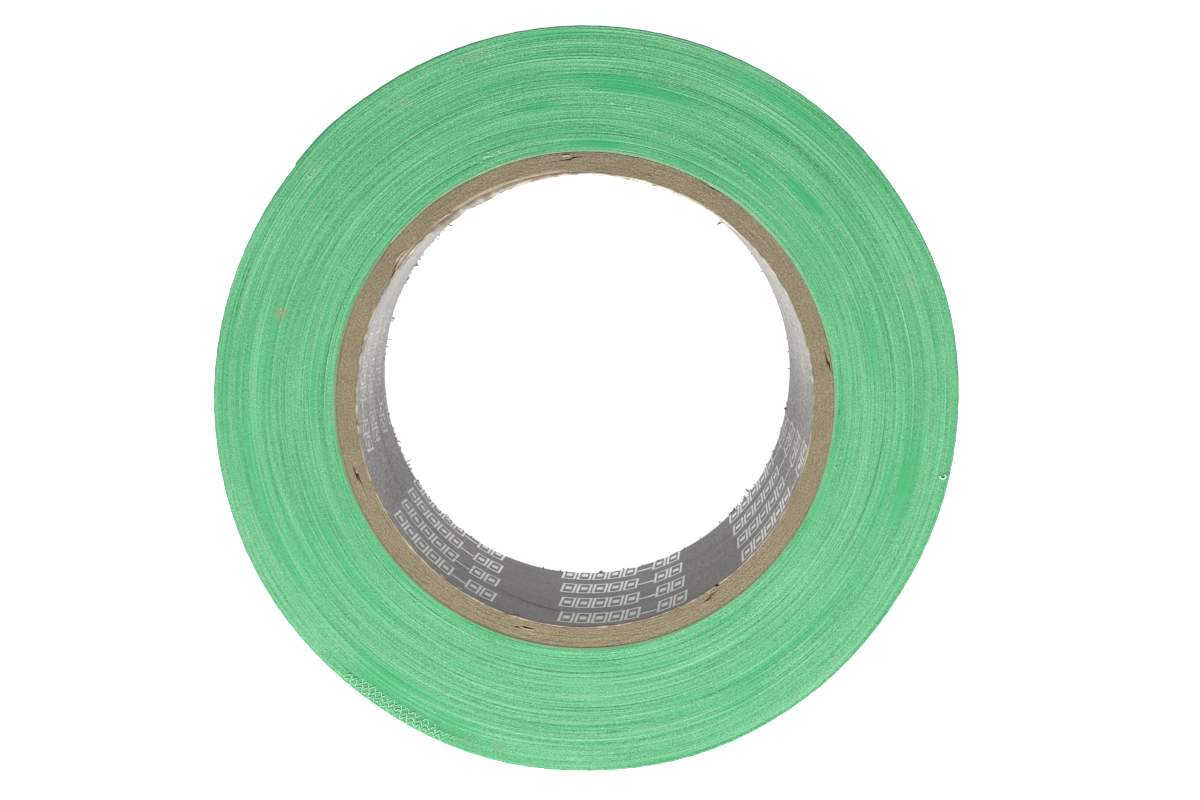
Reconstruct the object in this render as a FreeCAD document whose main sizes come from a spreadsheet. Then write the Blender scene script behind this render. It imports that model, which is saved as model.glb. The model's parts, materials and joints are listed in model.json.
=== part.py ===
import FreeCAD, Part
import Sketcher
import os
import re

# A roll of cloth-backed masking tape, lying flat: the axis is +Z and the origin is the middle of the lower face.
# Angles are measured anticlockwise about +Z from +X, in degrees, and the tape winds outwards in that direction.
# The core is a spiral-wound paper tube: a printed liner, six plies of kraft board and a thin outer wrap.
# Every ply is one helical strip, whose two edges meet in a narrow open seam.
# The tape is one strip of film, cloth and adhesive. Its inner turns are one solid, because they are wound tight.

DIMENSIONS = {
    "bore_diameter": 76.2,  # the 3 inch core
    "tape_width": 50,
    "roll_diameter": 125,
    "liner_thickness": 0.3,
    "ply_thickness": 0.5,
    "wrap_thickness": 0.2,
    "seam_pitch": 102,  # rise of a ply's seam in one turn
    "film_thickness": 0.035,
    "cloth_thickness": 0.062,
    "adhesive_thickness": 0.04,
    "start_angle": 300,  # the cut start of the tape, on the core
    "start_gap": 0.5,  # degrees left open there
    "end_angle": 140.5,  # the cut end of the tape, on the outside
    "end_span": 30,  # degrees of the last turn that have come loose
    "end_spring": 2.5,  # how much larger the loose end's own radius is
    "end_clearance": 0.08,  # between the loose end and the turn under it
    "root_gap": 0.1,  # degrees between the last turn and the loose end
}

# angle where each strip's seam meets the top face, and how far its edges stand apart
SEAMS = {
    "core_liner": (306, 0.5),
    "core_ply_1": (303, 0.6),
    "core_ply_2": (145, 0.3),
    "core_ply_3": (255, 0.8),
    "core_ply_4": (198, 0.9),
    "core_ply_5": (94, 0.4),
    "core_ply_6": (9, 0.5),
    "core_outer_wrap": (60, 0.3),
}

PLIES = 6
SEAM_OVERRUN = 6  # the seam's cutter starts and ends this far outside the tube
SEAM_MARGIN = 0.1  # and is this much wider than the strip, each way
LEAST_CUT = 1  # a seam takes away more than this, in mm3
TURN = "(film_thickness + cloth_thickness + adhesive_thickness)"

# the core's sketches as first drawn, before their expressions set their sizes
DRAWN_INNER, DRAWN_OUTER = 39, 41
DRAWN_TOP, DRAWN_BOTTOM = -6, -7

ORIGIN = FreeCAD.Vector(0, 0, 0)
UP = FreeCAD.Vector(0, 0, 1)
ABOUT_AXIS = FreeCAD.Placement(ORIGIN, FreeCAD.Rotation(UP, 1))  # a turn about Z, whose angle is then bound

doc = FreeCAD.newDocument("masking_tape_roll")
sheet = doc.addObject("Spreadsheet::Sheet", "Sizes")
aliases = set()


def fill_sheet():
    """One named cell for each driving dimension and for each seam's angle and gap."""
    cells = dict(DIMENSIONS)
    for strip, (angle, gap) in SEAMS.items():
        cells[strip + "_seam_angle"] = angle
        cells[strip + "_seam_gap"] = gap
    for row, (alias, value) in enumerate(cells.items(), start=1):
        sheet.set(f"A{row}", alias.replace("_", " "))
        sheet.set(f"B{row}", str(value))
        sheet.setAlias(f"B{row}", alias)
    aliases.update(cells)
    doc.recompute()


def sized(expression):
    """The expression with each sheet alias written as Sizes.alias."""
    return re.sub(r"\b[a-z_0-9]+\b", lambda word: "Sizes." * (word[0] in aliases) + word[0], expression)


def bind(item, **expressions):
    """Bind properties to expressions over the sheet; a double underscore stands for a dot."""
    for path, expression in expressions.items():
        item.setExpression(path.replace("__", "."), sized(expression))


def origin_feature(body, role):
    return next(feature for feature in body.Origin.OriginFeatures if feature.Role == role)


# ---- the core: each strip is a tube with a helical seam cut through it ----


def ring_sketch(body, inner, outer):
    """Two circles about the axis; inner and outer are expressions for their radii."""
    sketch = body.newObject("Sketcher::SketchObject", body.Name + "_ring")
    sketch.AttachmentSupport = [(origin_feature(body, "XY_Plane"), "")]
    sketch.MapMode = "FlatFace"
    circles = (("inner", inner, DRAWN_INNER), ("outer", outer, DRAWN_OUTER))
    for edge, (name, radius, drawn) in enumerate(circles):
        sketch.addGeometry(Part.Circle(ORIGIN, UP, drawn))
        sketch.addConstraint(Sketcher.Constraint("Coincident", edge, 3, -1, 1))
        number = sketch.addConstraint(Sketcher.Constraint("Radius", edge, drawn))
        sketch.renameConstraint(number, name)
        sketch.setExpression("Constraints." + name, sized(radius))
    return sketch


def seam_sketch(body, inner, outer, gap):
    """The seam's cutter: an upright rectangle below the tube's lower edge, as wide as the strip is thick."""
    sketch = body.newObject("Sketcher::SketchObject", body.Name + "_seam")
    sketch.AttachmentSupport = [(origin_feature(body, "XZ_Plane"), "")]
    sketch.MapMode = "FlatFace"
    across, upwards = (DRAWN_INNER, DRAWN_OUTER), (DRAWN_BOTTOM, DRAWN_TOP)
    corners = ((0, 0), (1, 0), (1, 1), (0, 1))
    points = [FreeCAD.Vector(across[x], upwards[y], 0) for x, y in corners]
    for side in range(4):
        sketch.addGeometry(Part.LineSegment(points[side], points[(side + 1) % 4]))
    for side in range(4):
        sketch.addConstraint(Sketcher.Constraint("Coincident", side, 2, (side + 1) % 4, 1))
        direction = "Horizontal" if side % 2 == 0 else "Vertical"
        sketch.addConstraint(Sketcher.Constraint(direction, side))
    sizes = {
        "near": (Sketcher.Constraint("DistanceX", -1, 1, 0, 1, DRAWN_INNER), f"{inner} - {SEAM_MARGIN}"),
        "far": (Sketcher.Constraint("DistanceX", -1, 1, 0, 2, DRAWN_OUTER), f"{outer} + {SEAM_MARGIN}"),
        "below": (Sketcher.Constraint("DistanceY", 0, 1, -1, 1, -DRAWN_BOTTOM), f"{SEAM_OVERRUN} + {gap}"),
        "gap": (Sketcher.Constraint("DistanceY", 1, 1, 1, 2, DRAWN_TOP - DRAWN_BOTTOM), gap),
    }
    for name, (constraint, expression) in sizes.items():
        number = sketch.addConstraint(constraint)
        sketch.renameConstraint(number, name)
        sketch.setExpression("Constraints." + name, sized(expression))
    return sketch


def core_strip(name, inner, outer):
    body = doc.addObject("PartDesign::Body", name)
    tube = body.newObject("PartDesign::Pad", name + "_tube")
    tube.Profile = ring_sketch(body, inner, outer)
    bind(tube, Length="tape_width")
    doc.recompute()
    whole_volume = body.Shape.Volume

    seam = body.newObject("PartDesign::SubtractiveHelix", name + "_cut")
    seam.Profile = seam_sketch(body, inner, outer, f"{name}_seam_gap")
    seam.ReferenceAxis = (origin_feature(body, "Z_Axis"), [""])
    seam.Mode = "pitch-height-angle"
    bind(seam, Pitch="seam_pitch", Height=f"tape_width + {2 * SEAM_OVERRUN}")

    # the cutter starts at angle 0, so the body turns until the seam's top is at its own angle
    body.Placement = ABOUT_AXIS
    turn = f"{name}_seam_angle - 360 * ( tape_width + {SEAM_OVERRUN} ) / seam_pitch"
    bind(body, Placement__Rotation__Angle=turn)
    doc.recompute()
    if body.Shape.Volume > whole_volume - LEAST_CUT:
        raise RuntimeError(f"the seam of {name} cuts nothing")
    return body


def make_core():
    liner_outer = "bore_diameter / 2 + liner_thickness"
    strips = [core_strip("core_liner", "bore_diameter / 2", liner_outer)]
    for ply in range(1, PLIES + 1):
        inner = f"{liner_outer} + {ply - 1} * ply_thickness"
        outer = f"{liner_outer} + {ply} * ply_thickness"
        strips.append(core_strip(f"core_ply_{ply}", inner, outer))
    board_outer = f"{liner_outer} + {PLIES} * ply_thickness"
    strips.append(core_strip("core_outer_wrap", board_outer, f"{board_outer} + wrap_thickness"))
    return strips


# ---- the tape: spiral outlines made of two half turns, whose centres are half a thickness apart ----

CORE_RADIUS = f"( bore_diameter / 2 + liner_thickness + {PLIES} * ply_thickness + wrap_thickness )"
# outer surface of the second last turn, for the half turn after the tape's end and the half before it
HALF_RADIUS = (f"roll_diameter / 2 - 1.75 * {TURN}", f"roll_diameter / 2 - 1.25 * {TURN}")
HALF_SIDE = (-0.25, 0.25)


def cylinder(name, radius, sweep="360", turn="0", x="0", y="0"):
    """A cylinder or a sector of one, as tall as the tape is wide."""
    solid = doc.addObject("Part::Cylinder", name)
    solid.Placement = ABOUT_AXIS
    bind(solid, Radius=radius, Height="tape_width", Angle=sweep)
    bind(solid, Placement__Rotation__Angle=turn, Placement__Base__x=x, Placement__Base__y=y)
    return solid


def combine(kind, name, base, tool):
    result = doc.addObject("Part::" + kind, name)
    result.Base = base
    result.Tool = tool
    return result


def spiral_disc(name, offset, second_sweep):
    """The space inside the spiral surface that lies offset outside the second last turn."""
    halves = []
    for half, sweep in enumerate(("180", second_sweep)):
        shift = f"{HALF_SIDE[half]} * {TURN}"
        halves.append(
            cylinder(
                f"{name}_half_{half + 1}",
                f"{HALF_RADIUS[half]} + {offset}",
                sweep,
                f"end_angle + {180 * half}",
                f"{shift} * cos(end_angle * 1 deg)",
                f"{shift} * sin(end_angle * 1 deg)",
            )
        )
    return combine("Fuse", name, *halves)


def make_wound_turns():
    first_outer = f"{CORE_RADIUS} + {TURN}"
    first = combine(
        "Cut",
        "tape_first_turn",
        cylinder("first_turn_outside", first_outer, "360 - start_gap", "start_angle"),
        cylinder("first_turn_inside", CORE_RADIUS),
    )
    pack = combine(
        "Cut",
        "tape_pack",
        spiral_disc("pack_outside", "0", "180"),
        cylinder("pack_inside", first_outer),
    )
    return [first, pack]


LAYERS = {  # inner and outer face of each layer, out from the turn below
    "adhesive": ("0", "adhesive_thickness"),
    "cloth": ("adhesive_thickness", "adhesive_thickness + cloth_thickness"),
    "film": ("adhesive_thickness + cloth_thickness", TURN),
}


def make_last_turn():
    """The last turn, from where it starts under the tape's cut end to the root of the loose end."""
    layers = []
    for layer, (inner, outer) in LAYERS.items():
        sweep = "180 - end_span - root_gap"
        name = "last_turn_" + layer
        outside = spiral_disc(name + "_outside", outer, sweep)
        inside = spiral_disc(name + "_inside", inner, "180")
        layers.append(combine("Cut", name, outside, inside))
    return layers


def make_tape_end():
    """The loose end: an arc of larger radius, which leaves the roll at its root and stands off at its cut end."""
    layers = []
    root_angle = "((end_angle - end_span) * 1 deg)"
    reach = "( end_spring - end_clearance )"
    sweep = "end_span * ( roll_diameter / 2 ) / ( roll_diameter / 2 + end_spring )"
    for layer, (inner, outer) in LAYERS.items():
        name = "tape_end_" + layer
        centre_x = f"-1 * {reach} * cos{root_angle}"
        centre_y = f"-1 * {reach} * sin{root_angle}"
        base_radius = f"roll_diameter / 2 - {TURN} + end_spring"
        place = {"x": centre_x, "y": centre_y}
        root = "end_angle - end_span"
        outside = cylinder(name + "_outside", f"{base_radius} + {outer}", sweep, root, **place)
        inside = cylinder(name + "_inside", f"{base_radius} + {inner}", **place)
        layers.append(combine("Cut", name, outside, inside))
    return layers


def check(item):
    if "Invalid" in item.State or "Error" in item.State:
        raise RuntimeError(f"{item.Name} failed: {item.State}")


def write(nodes):
    for item in doc.Objects:
        check(item)
    for node in nodes:
        node.Label = node.Name
        if node.Shape.isNull() or not node.Shape.isValid() or len(node.Shape.Solids) != 1:
            raise RuntimeError(f"{node.Name} isn't one valid solid")
    os.makedirs("parts", exist_ok=True)
    for node in nodes:
        node.Shape.exportStep(f"parts/{node.Name}.step")
        box = node.Shape.optimalBoundingBox()
        print(f"{node.Name:22s} {node.Shape.Volume:10.1f} mm3  z {box.ZMin:.2f} to {box.ZMax:.2f}")


fill_sheet()
pieces = make_core() + make_wound_turns() + make_last_turn() + make_tape_end()
doc.recompute()
write(pieces)
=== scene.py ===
"""The visual model of a masking tape roll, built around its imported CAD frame.

Lengths are in millimetres until mesh(), which turns them into metres.
"""

import json
import math

import bpy
import numpy as np
from mathutils import Matrix, Vector


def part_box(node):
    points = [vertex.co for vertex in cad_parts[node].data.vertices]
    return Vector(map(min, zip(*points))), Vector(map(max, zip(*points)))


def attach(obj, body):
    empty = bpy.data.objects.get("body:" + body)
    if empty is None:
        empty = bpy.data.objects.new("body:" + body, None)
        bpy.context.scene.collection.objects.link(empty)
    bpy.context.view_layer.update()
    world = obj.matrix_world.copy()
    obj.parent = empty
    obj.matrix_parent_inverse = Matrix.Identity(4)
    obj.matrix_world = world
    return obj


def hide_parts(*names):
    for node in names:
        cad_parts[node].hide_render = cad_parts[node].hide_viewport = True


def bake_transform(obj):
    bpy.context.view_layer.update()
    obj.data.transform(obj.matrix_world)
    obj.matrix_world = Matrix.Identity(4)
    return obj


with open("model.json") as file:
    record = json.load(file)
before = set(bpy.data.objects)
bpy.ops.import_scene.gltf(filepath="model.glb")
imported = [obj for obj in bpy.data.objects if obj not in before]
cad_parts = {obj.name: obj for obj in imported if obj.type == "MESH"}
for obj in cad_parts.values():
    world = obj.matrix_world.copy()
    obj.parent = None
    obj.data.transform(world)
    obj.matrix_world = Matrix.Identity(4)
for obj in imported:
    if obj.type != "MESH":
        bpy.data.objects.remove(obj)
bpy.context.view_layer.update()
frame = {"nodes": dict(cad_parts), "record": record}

MM = 0.001
TAU = 2 * math.pi


def box_mm(node):
    low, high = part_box(node)
    return np.array(low) / MM, np.array(high) / MM


def outer_radius(node):
    low, high = box_mm(node)
    return float((high[0] - low[0]) / 2)


# ---- sizes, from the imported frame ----

MOUNTS = {mount["name"]: mount for mount in frame["record"]["mounts"]}
BORE = MOUNTS["core_bore"]["dims"]["r_mm"]
WIDTH = float(box_mm("tape_pack")[1][2])
PLIES = sorted(node for node in frame["nodes"] if node.startswith("core_ply_"))
BOARD_RADII = [outer_radius(node) for node in ("core_liner", *PLIES, "core_outer_wrap")]
CORE = BOARD_RADII[-1]
THICK = outer_radius("tape_first_turn") - CORE  # one turn of tape
ROLL = 62.5  # the roll's outer radius at the tape's cut end
YARN = 1.75  # the cloth's yarns are this far apart

END_ANGLE = math.radians(140.5)  # the cut end of the tape
END_SPAN = math.radians(30)  # how much of the last turn has come loose
END_BEND = math.radians(9)  # the part of it that curls when it is peeled
END_LIFT = 0.12  # how far its cut edge stands off the roll
UNDER_END = math.radians(6)  # the last turn starts this far before the loose end's root
TURNS = int((ROLL - 2 * THICK - CORE) / THICK)  # inside the last turn
SEAM_PITCH = 102.0  # rise of a core strip's seam in one turn

# angle where each strip's seam meets the upper face, and how wide it stands open there
PLY_SEAMS = [(145, 0.04), (303, 0.15), (255, 0.26), (198, 0.3), (93.4, 0.1), (9.8, 0.2)]
LINER_SEAM = (306, 0.3)
WRAP_SEAM = (60, 0.3)

rng = np.random.default_rng(7)


# ---- small tools ----


def smooth_noise(count, knots):
    """Smooth random values from -1 to 1 at count places, with the given number of knots between them."""
    values = rng.uniform(-1, 1, knots + 1)
    place = np.linspace(0, knots, count)
    low = np.minimum(place.astype(int), knots - 1)
    part = ease(place - low)
    return values[low] * (1 - part) + values[low + 1] * part


def smooth_field(row, column, row_knots, column_knots):
    """Smooth random values from -1 to 1 at row and column shares from 0 to 1; the columns form a circle."""
    values = rng.uniform(-1, 1, (row_knots + 2, column_knots))
    row, column = np.broadcast_arrays(np.clip(row, 0, 1) * row_knots, column % 1 * column_knots)
    low_row, low_column = row.astype(int), column.astype(int)
    row_part, column_part = ease(row - low_row), ease(column - low_column)
    next_column = (low_column + 1) % column_knots

    def along_row(at):
        return values[at, low_column] * (1 - column_part) + values[at, next_column] * column_part

    return along_row(low_row) * (1 - row_part) + along_row(low_row + 1) * row_part


def ease(part):
    """A smooth rise from 0 to 1 as part goes from 0 to 1."""
    part = np.clip(part, 0, 1)
    return part * part * (3 - 2 * part)


def hill(angle, centre, reach):
    """1 at the centre, falling to 0 at reach from it, whichever way round; only angle is in radians."""
    away = np.abs((np.degrees(angle) - centre + 180) % 360 - 180) / reach
    return ease(1 - away)


def nowhere(angle):
    """0 at every angle."""
    return 0 * angle


def ring(radius, angle, height):
    """Points at a radius, angle in radians and height."""
    radius, angle, height = np.broadcast_arrays(radius, angle, height)
    return np.stack([radius * np.cos(angle), radius * np.sin(angle), height], axis=-1)


def mesh(name, points, faces, material, values=None, smooth=True):
    """A mesh object; points in millimetres, values a dictionary of one number per point."""
    data = bpy.data.meshes.new(name)
    data.from_pydata((np.asarray(points).reshape(-1, 3) * MM).tolist(), [], faces)
    for key, numbers in (values or {}).items():
        layer = data.attributes.new(key, "FLOAT", "POINT")
        layer.data.foreach_set("value", np.asarray(numbers, dtype=np.float32).ravel())
    data.polygons.foreach_set("use_smooth", [smooth] * len(data.polygons))
    data.materials.append(material)
    data.validate()
    data.update()
    piece = bpy.data.objects.new(name, data)
    bpy.context.scene.collection.objects.link(piece)
    return piece


def swept_faces(steps, around, caps=None):
    """Faces of a closed section of `around` points swept through `steps` places.

    caps lists the faces that fill the section at each end, one face unless given.
    """
    step = np.arange(steps - 1)[:, None]
    place = np.arange(around)[None, :]
    here, ahead = step * around, (step + 1) * around
    after = (place + 1) % around
    quads = np.stack([here + place, ahead + place, ahead + after, here + after], axis=-1)
    faces = quads.reshape(-1, 4).tolist()
    for cap in caps or [list(range(around))]:
        faces.append(cap)
        faces.append([(steps - 1) * around + i for i in reversed(cap)])
    return faces


# ---- node trees written as arithmetic ----


class Wire:
    """A socket in a node tree, so that maths on it reads as maths."""

    def __init__(self, tree, socket):
        self.tree, self.socket = tree, socket

    def math(self, operation, *others):
        node = self.tree.nodes.new("ShaderNodeMath")
        node.operation = operation
        for slot, value in enumerate((self, *others)):
            if isinstance(value, Wire):
                self.tree.links.new(value.socket, node.inputs[slot])
            else:
                node.inputs[slot].default_value = value
        return Wire(self.tree, node.outputs[0])

    def __add__(self, other):
        return self.math("ADD", other)

    def __sub__(self, other):
        return self.math("SUBTRACT", other)

    def __mul__(self, other):
        return self.math("MULTIPLY", other)

    def __truediv__(self, other):
        return self.math("DIVIDE", other)

    def step(self, low, high):
        """0 below low, 1 above high, smooth between."""
        node = self.tree.nodes.new("ShaderNodeMapRange")
        node.interpolation_type = "SMOOTHSTEP"
        node.inputs["From Min"].default_value = low
        node.inputs["From Max"].default_value = high
        self.tree.links.new(self.socket, node.inputs["Value"])
        return Wire(self.tree, node.outputs["Result"])

    def flipped(self):
        """1 where the value is 0, and 0 where it is 1."""
        return self * -1.0 + 1.0

    def band(self, half, edge):
        """1 where the value is within half of zero, fading over edge."""
        return self.math("ABSOLUTE").step(half + edge, half)


class Paint:
    """One Principled material and short ways to wire its colour, roughness and bump."""

    def __init__(self, name, roughness):
        self.material = bpy.data.materials.new(name)
        self.material.use_nodes = True
        self.tree = self.material.node_tree
        self.shader = self.tree.nodes["Principled BSDF"]
        self.shader.inputs["Roughness"].default_value = roughness

    def attribute(self, name):
        node = self.tree.nodes.new("ShaderNodeAttribute")
        node.attribute_name = name
        return Wire(self.tree, node.outputs["Fac"])

    def position(self):
        """Object coordinates in millimetres, as three wires."""
        place = self.tree.nodes.new("ShaderNodeTexCoord")
        split = self.tree.nodes.new("ShaderNodeSeparateXYZ")
        self.tree.links.new(place.outputs["Object"], split.inputs[0])
        return [Wire(self.tree, split.outputs[i]) * (1 / MM) for i in range(3)]

    def place(self):
        """Object coordinates in millimetres, as one vector."""
        return self.vector(*self.position())

    def vector(self, x, y, z):
        node = self.tree.nodes.new("ShaderNodeCombineXYZ")
        for slot, value in enumerate((x, y, z)):
            if isinstance(value, Wire):
                self.tree.links.new(value.socket, node.inputs[slot])
            else:
                node.inputs[slot].default_value = value
        return Wire(self.tree, node.outputs[0])

    def noise(self, vector, scale, detail=3.0, roughness=0.5):
        """Noise about 0, from about -0.5 to 0.5."""
        node = self.tree.nodes.new("ShaderNodeTexNoise")
        node.inputs["Scale"].default_value = scale
        node.inputs["Detail"].default_value = detail
        node.inputs["Roughness"].default_value = roughness
        self.tree.links.new(vector.socket, node.inputs["Vector"])
        return Wire(self.tree, node.outputs["Fac"]) - 0.5

    def ramp(self, value, stops):
        """stops: (place, sRGB colour out of 255)."""
        node = self.tree.nodes.new("ShaderNodeValToRGB")
        node.color_ramp.interpolation = "B_SPLINE" if len(stops) > 4 else "LINEAR"
        elements = node.color_ramp.elements
        while len(elements) < len(stops):
            elements.new(0.5)
        for element, (place, colour) in zip(elements, stops):
            element.position = place
            element.color = linear(colour)
        self.tree.links.new(value.socket, node.inputs["Fac"])
        return Wire(self.tree, node.outputs["Color"])

    def mix(self, share, first, second):
        """first where share is 0, second where it is 1; either may be an sRGB colour out of 255."""
        node = self.tree.nodes.new("ShaderNodeMix")
        node.data_type = "RGBA"
        node.clamp_factor = True
        self.tree.links.new(share.socket, node.inputs["Factor"])
        for slot, value in (("A", first), ("B", second)):
            socket = next(s for s in node.inputs if s.name == slot and s.type == "RGBA")
            if isinstance(value, Wire):
                self.tree.links.new(value.socket, socket)
            else:
                socket.default_value = linear(value)
        return Wire(self.tree, next(s for s in node.outputs if s.type == "RGBA"))

    def colour(self, wire):
        self.tree.links.new(wire.socket, self.shader.inputs["Base Color"])

    def roughness(self, wire):
        self.tree.links.new(wire.socket, self.shader.inputs["Roughness"])

    def bump(self, height, depth_mm):
        """A height of 1 stands depth_mm proud of a height of 0."""
        node = self.tree.nodes.new("ShaderNodeBump")
        node.inputs["Distance"].default_value = depth_mm * MM
        self.tree.links.new(height.socket, node.inputs["Height"])
        self.tree.links.new(node.outputs[0], self.shader.inputs["Normal"])


def linear(colour):
    """An sRGB colour out of 255 as the linear colour that a shader takes."""
    parts = [c / 255 for c in colour]
    return [p / 12.92 if p <= 0.04045 else ((p + 0.055) / 1.055) ** 2.4 for p in parts] + [1.0]


def polar(paint):
    """(cosine, sine, radius in mm, height in mm) of the place being shaded."""
    x, y, z = paint.position()
    radius = (x * x + y * y).math("SQRT")
    return x / radius, y / radius, radius, z


# ---- materials ----


def tape_edge_material():
    """The cut edges of the turns: their tone runs from shade below 0 to pale above it, partly frayed plastic
    and partly painted highlight on turns that stand proud.
    """
    paint = Paint("tape_edges", 0.58)
    place = paint.place()
    grain = paint.noise(place, 4.6, 2.0, 0.6)
    cloud = paint.noise(place, 0.35, 3.0, 0.6)
    scuffs = paint.noise(place, 2.6, 3.0, 0.75).step(0.02, 0.16) * paint.attribute("haze")
    tone = paint.attribute("tone") + grain * 2.2 + cloud * 0.15 + 0.5
    green = paint.ramp(
        tone,
        [
            (0.0, (39, 125, 71)),
            (0.25, (70, 158, 102)),
            (0.5, (85, 168, 115)),
            (0.75, (102, 180, 130)),
            (1.0, (137, 197, 159)),
        ],
    )
    rich = paint.mix(paint.attribute("rich"), green, (50, 165, 100))
    scuffed = paint.mix(scuffs, rich, (164, 204, 175))
    hazy = paint.mix(paint.attribute("haze") * 0.32, scuffed, (128, 175, 143))
    paint.colour(paint.mix(paint.attribute("stain"), hazy, (145, 134, 106)))
    paint.roughness(tone * 0.2 + 0.5)
    paint.bump(grain + 0.5, 0.06)
    return paint.material


def yarn_waves(along, across):
    """A wave for each set of yarns: 0 in the gaps, and the same sign in both where the weft lies on top."""
    return [(way * (math.pi / YARN)).math("SINE") for way in (along, across)]


def film_material():
    """The outer face of the tape: satin film over flat yarns."""
    paint = Paint("tape_film", 0.34)
    along, across = paint.attribute("along"), paint.attribute("across")
    weft, warp = yarn_waves(along, across)
    over = (weft * warp).step(-0.25, 0.25)
    gaps = warp.math("ABSOLUTE").step(0.0, 0.3) * weft.math("ABSOLUTE").step(0.0, 0.3)
    wide = paint.noise(paint.place(), 0.05, 3.0)
    fine = paint.noise(paint.vector(along, across, 0.0), 3.0, 2.0)
    tone = over * 0.12 + gaps * 0.2 + wide * 0.35 + fine * 0.2 + 0.25
    paint.colour(paint.ramp(tone, [(0.0, (42, 112, 66)), (0.5, (66, 137, 89)), (1.0, (101, 156, 115))]))
    paint.roughness(wide * 0.2 + fine * 0.1 + 0.36)
    paint.bump(gaps * 0.6 + fine * 0.25 + 0.1, 0.06)
    return paint.material


def adhesive_material():
    """The sticky inner face of the tape, through which the cloth shows."""
    paint = Paint("tape_adhesive", 0.22)
    along, across = paint.attribute("along"), paint.attribute("across")
    fine = paint.noise(paint.vector(along, across, 0.0), 0.8, 4.0)
    weft, warp = yarn_waves(along, across)
    over = (weft * warp).step(-0.3, 0.3)
    paint.colour(paint.ramp(fine + over * 0.2 + 0.4, [(0.0, (110, 178, 130)), (1.0, (176, 214, 182))]))
    paint.roughness(fine * 0.3 + 0.28)
    paint.bump(fine + over * 0.3, 0.05)
    return paint.material


def board_material(name, dark, middle, pale):
    """Kraft board: short fibres along the circle, pale flecks and soft stains; a torn place is paler."""
    paint = Paint(name, 0.86)
    place = paint.place()
    cosine, sine, radius, height = polar(paint)
    fibre = paint.noise(paint.vector(cosine * 40, sine * 40, radius * 2.2 + height), 1.0, 3.0, 0.6)
    cloud = paint.noise(place, 0.22, 3.0)
    fleck = paint.noise(place, 3.6, 2.0, 0.7)
    tone = fibre * 0.28 + cloud * 0.25 + fleck * 1.5 + paint.attribute("tone") * 0.35 + 0.5
    paint.colour(paint.ramp(tone, [(0.05, dark), (0.5, middle), (0.95, pale)]))
    paint.bump(fibre + fleck + 0.5, 0.1)
    return paint.material


def liner_material():
    """Grey coated paper with rows of small outlined cells in pale ink, and a bare, pale torn edge."""
    paint = Paint("liner_paper", 0.5)
    cosine, sine, radius, height = polar(paint)
    arc = sine.math("ARCTAN2", cosine) * BORE

    # the printed rows: up runs across a row and along runs with it, both in millimetres
    up = height - arc * PRINT_SLOPE - PRINT_ROW_HEIGHT
    up = up - (up / PRINT_ROW_PITCH).math("ROUND") * PRINT_ROW_PITCH
    along = arc + up * PRINT_LEAN - PRINT_START
    group_length = TAU * BORE / PRINT_GROUPS
    along = along - (along / group_length).math("FLOOR") * group_length
    cell = (along / PRINT_CELL_PITCH).math("FLOOR")
    beside = along - cell * PRINT_CELL_PITCH - PRINT_CELL_PITCH / 2
    bar_cell = (cell - PRINT_BAR_CELL).band(0.2, 0.2)
    printed = cell.step(PRINT_CELLS - 0.4, PRINT_CELLS - 0.6)
    half_width, half_height = PRINT_CELL_WIDTH / 2, PRINT_CELL_HEIGHT / 2
    inside = beside.band(half_width, 0.08) * up.band(half_height, 0.12)
    hollow = beside.band(half_width - PRINT_LINE, 0.08) * up.band(half_height - PRINT_LINE * 1.6, 0.12)
    pip = beside.band(0.5, 0.12) * up.band(1.2, 0.25)
    bar = (up - half_height * 0.4).band(PRINT_LINE, 0.15)
    boxes = (inside - hollow + pip).math("MINIMUM", 1.0)
    shape = boxes * bar_cell.flipped() + bar * bar_cell
    wear = paint.noise(paint.vector(cosine * 40, sine * 40, height), 0.9, 3.0, 0.7)
    strength = paint.attribute("ink")
    ink = printed * shape * strength * (wear + strength * 0.5).step(0.18, 0.4)

    streak = paint.noise(paint.vector(cosine * 6, sine * 6, height * 0.4), 1.0, 4.0, 0.65)
    cloud = paint.noise(paint.vector(cosine * 4, sine * 4, height * 0.08), 1.0, 2.0)
    speck = paint.noise(paint.vector(cosine * 90, sine * 90, height * 0.6), 0.9, 2.0, 0.7)
    # pale is painted light: it makes the upper walls paler, where the front lamps strike them, and pales the
    # torn edge there too; deeper, folded into it, makes the lower wall paler towards the floor
    deeper = sine.step(-0.7, -0.1) * (height / WIDTH - 1.0) * -0.15
    pale = sine.step(-0.25, 0.4) * 0.34 + deeper
    rough = streak * 0.6 + cloud * 0.25 + speck * (cosine * cosine * 1.2 + 0.5)
    tone = rough + pale + paint.attribute("tone") * 0.7 + 0.35
    grey = paint.ramp(tone, [(0.0, (58, 57, 57)), (0.35, (101, 99, 99)), (1.0, (174, 171, 164))])
    printed_paper = paint.mix(ink, grey, (254, 254, 252))
    fibre = paint.noise(paint.vector(cosine * 30, sine * 30, height * 2 + radius * 3), 1.0, 4.0, 0.7)
    frayed = fibre * 1.3 + pale * 0.9 + paint.attribute("tone") + 0.25
    torn = paint.ramp(frayed, [(0.0, (126, 115, 96)), (0.5, (162, 152, 135)), (1.0, (201, 193, 177))])
    paint.colour(paint.mix(paint.attribute("bare"), printed_paper, torn))
    paint.roughness(streak * 0.2 + 0.52)
    paint.bump(speck * 0.5 + streak * 0.6 + 0.5, 0.04)
    return paint.material


def thread_material(name, colour, roughness):
    """One fibre's colour, a little uneven along it."""
    paint = Paint(name, roughness)
    fine = paint.noise(paint.place(), 2.0, 2.0)
    paler = [min(255, c + 22) for c in colour]
    darker = [c - 26 for c in colour]
    paint.colour(paint.ramp(fine + 0.5, [(0.2, darker), (0.8, paler)]))
    return paint.material


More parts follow.
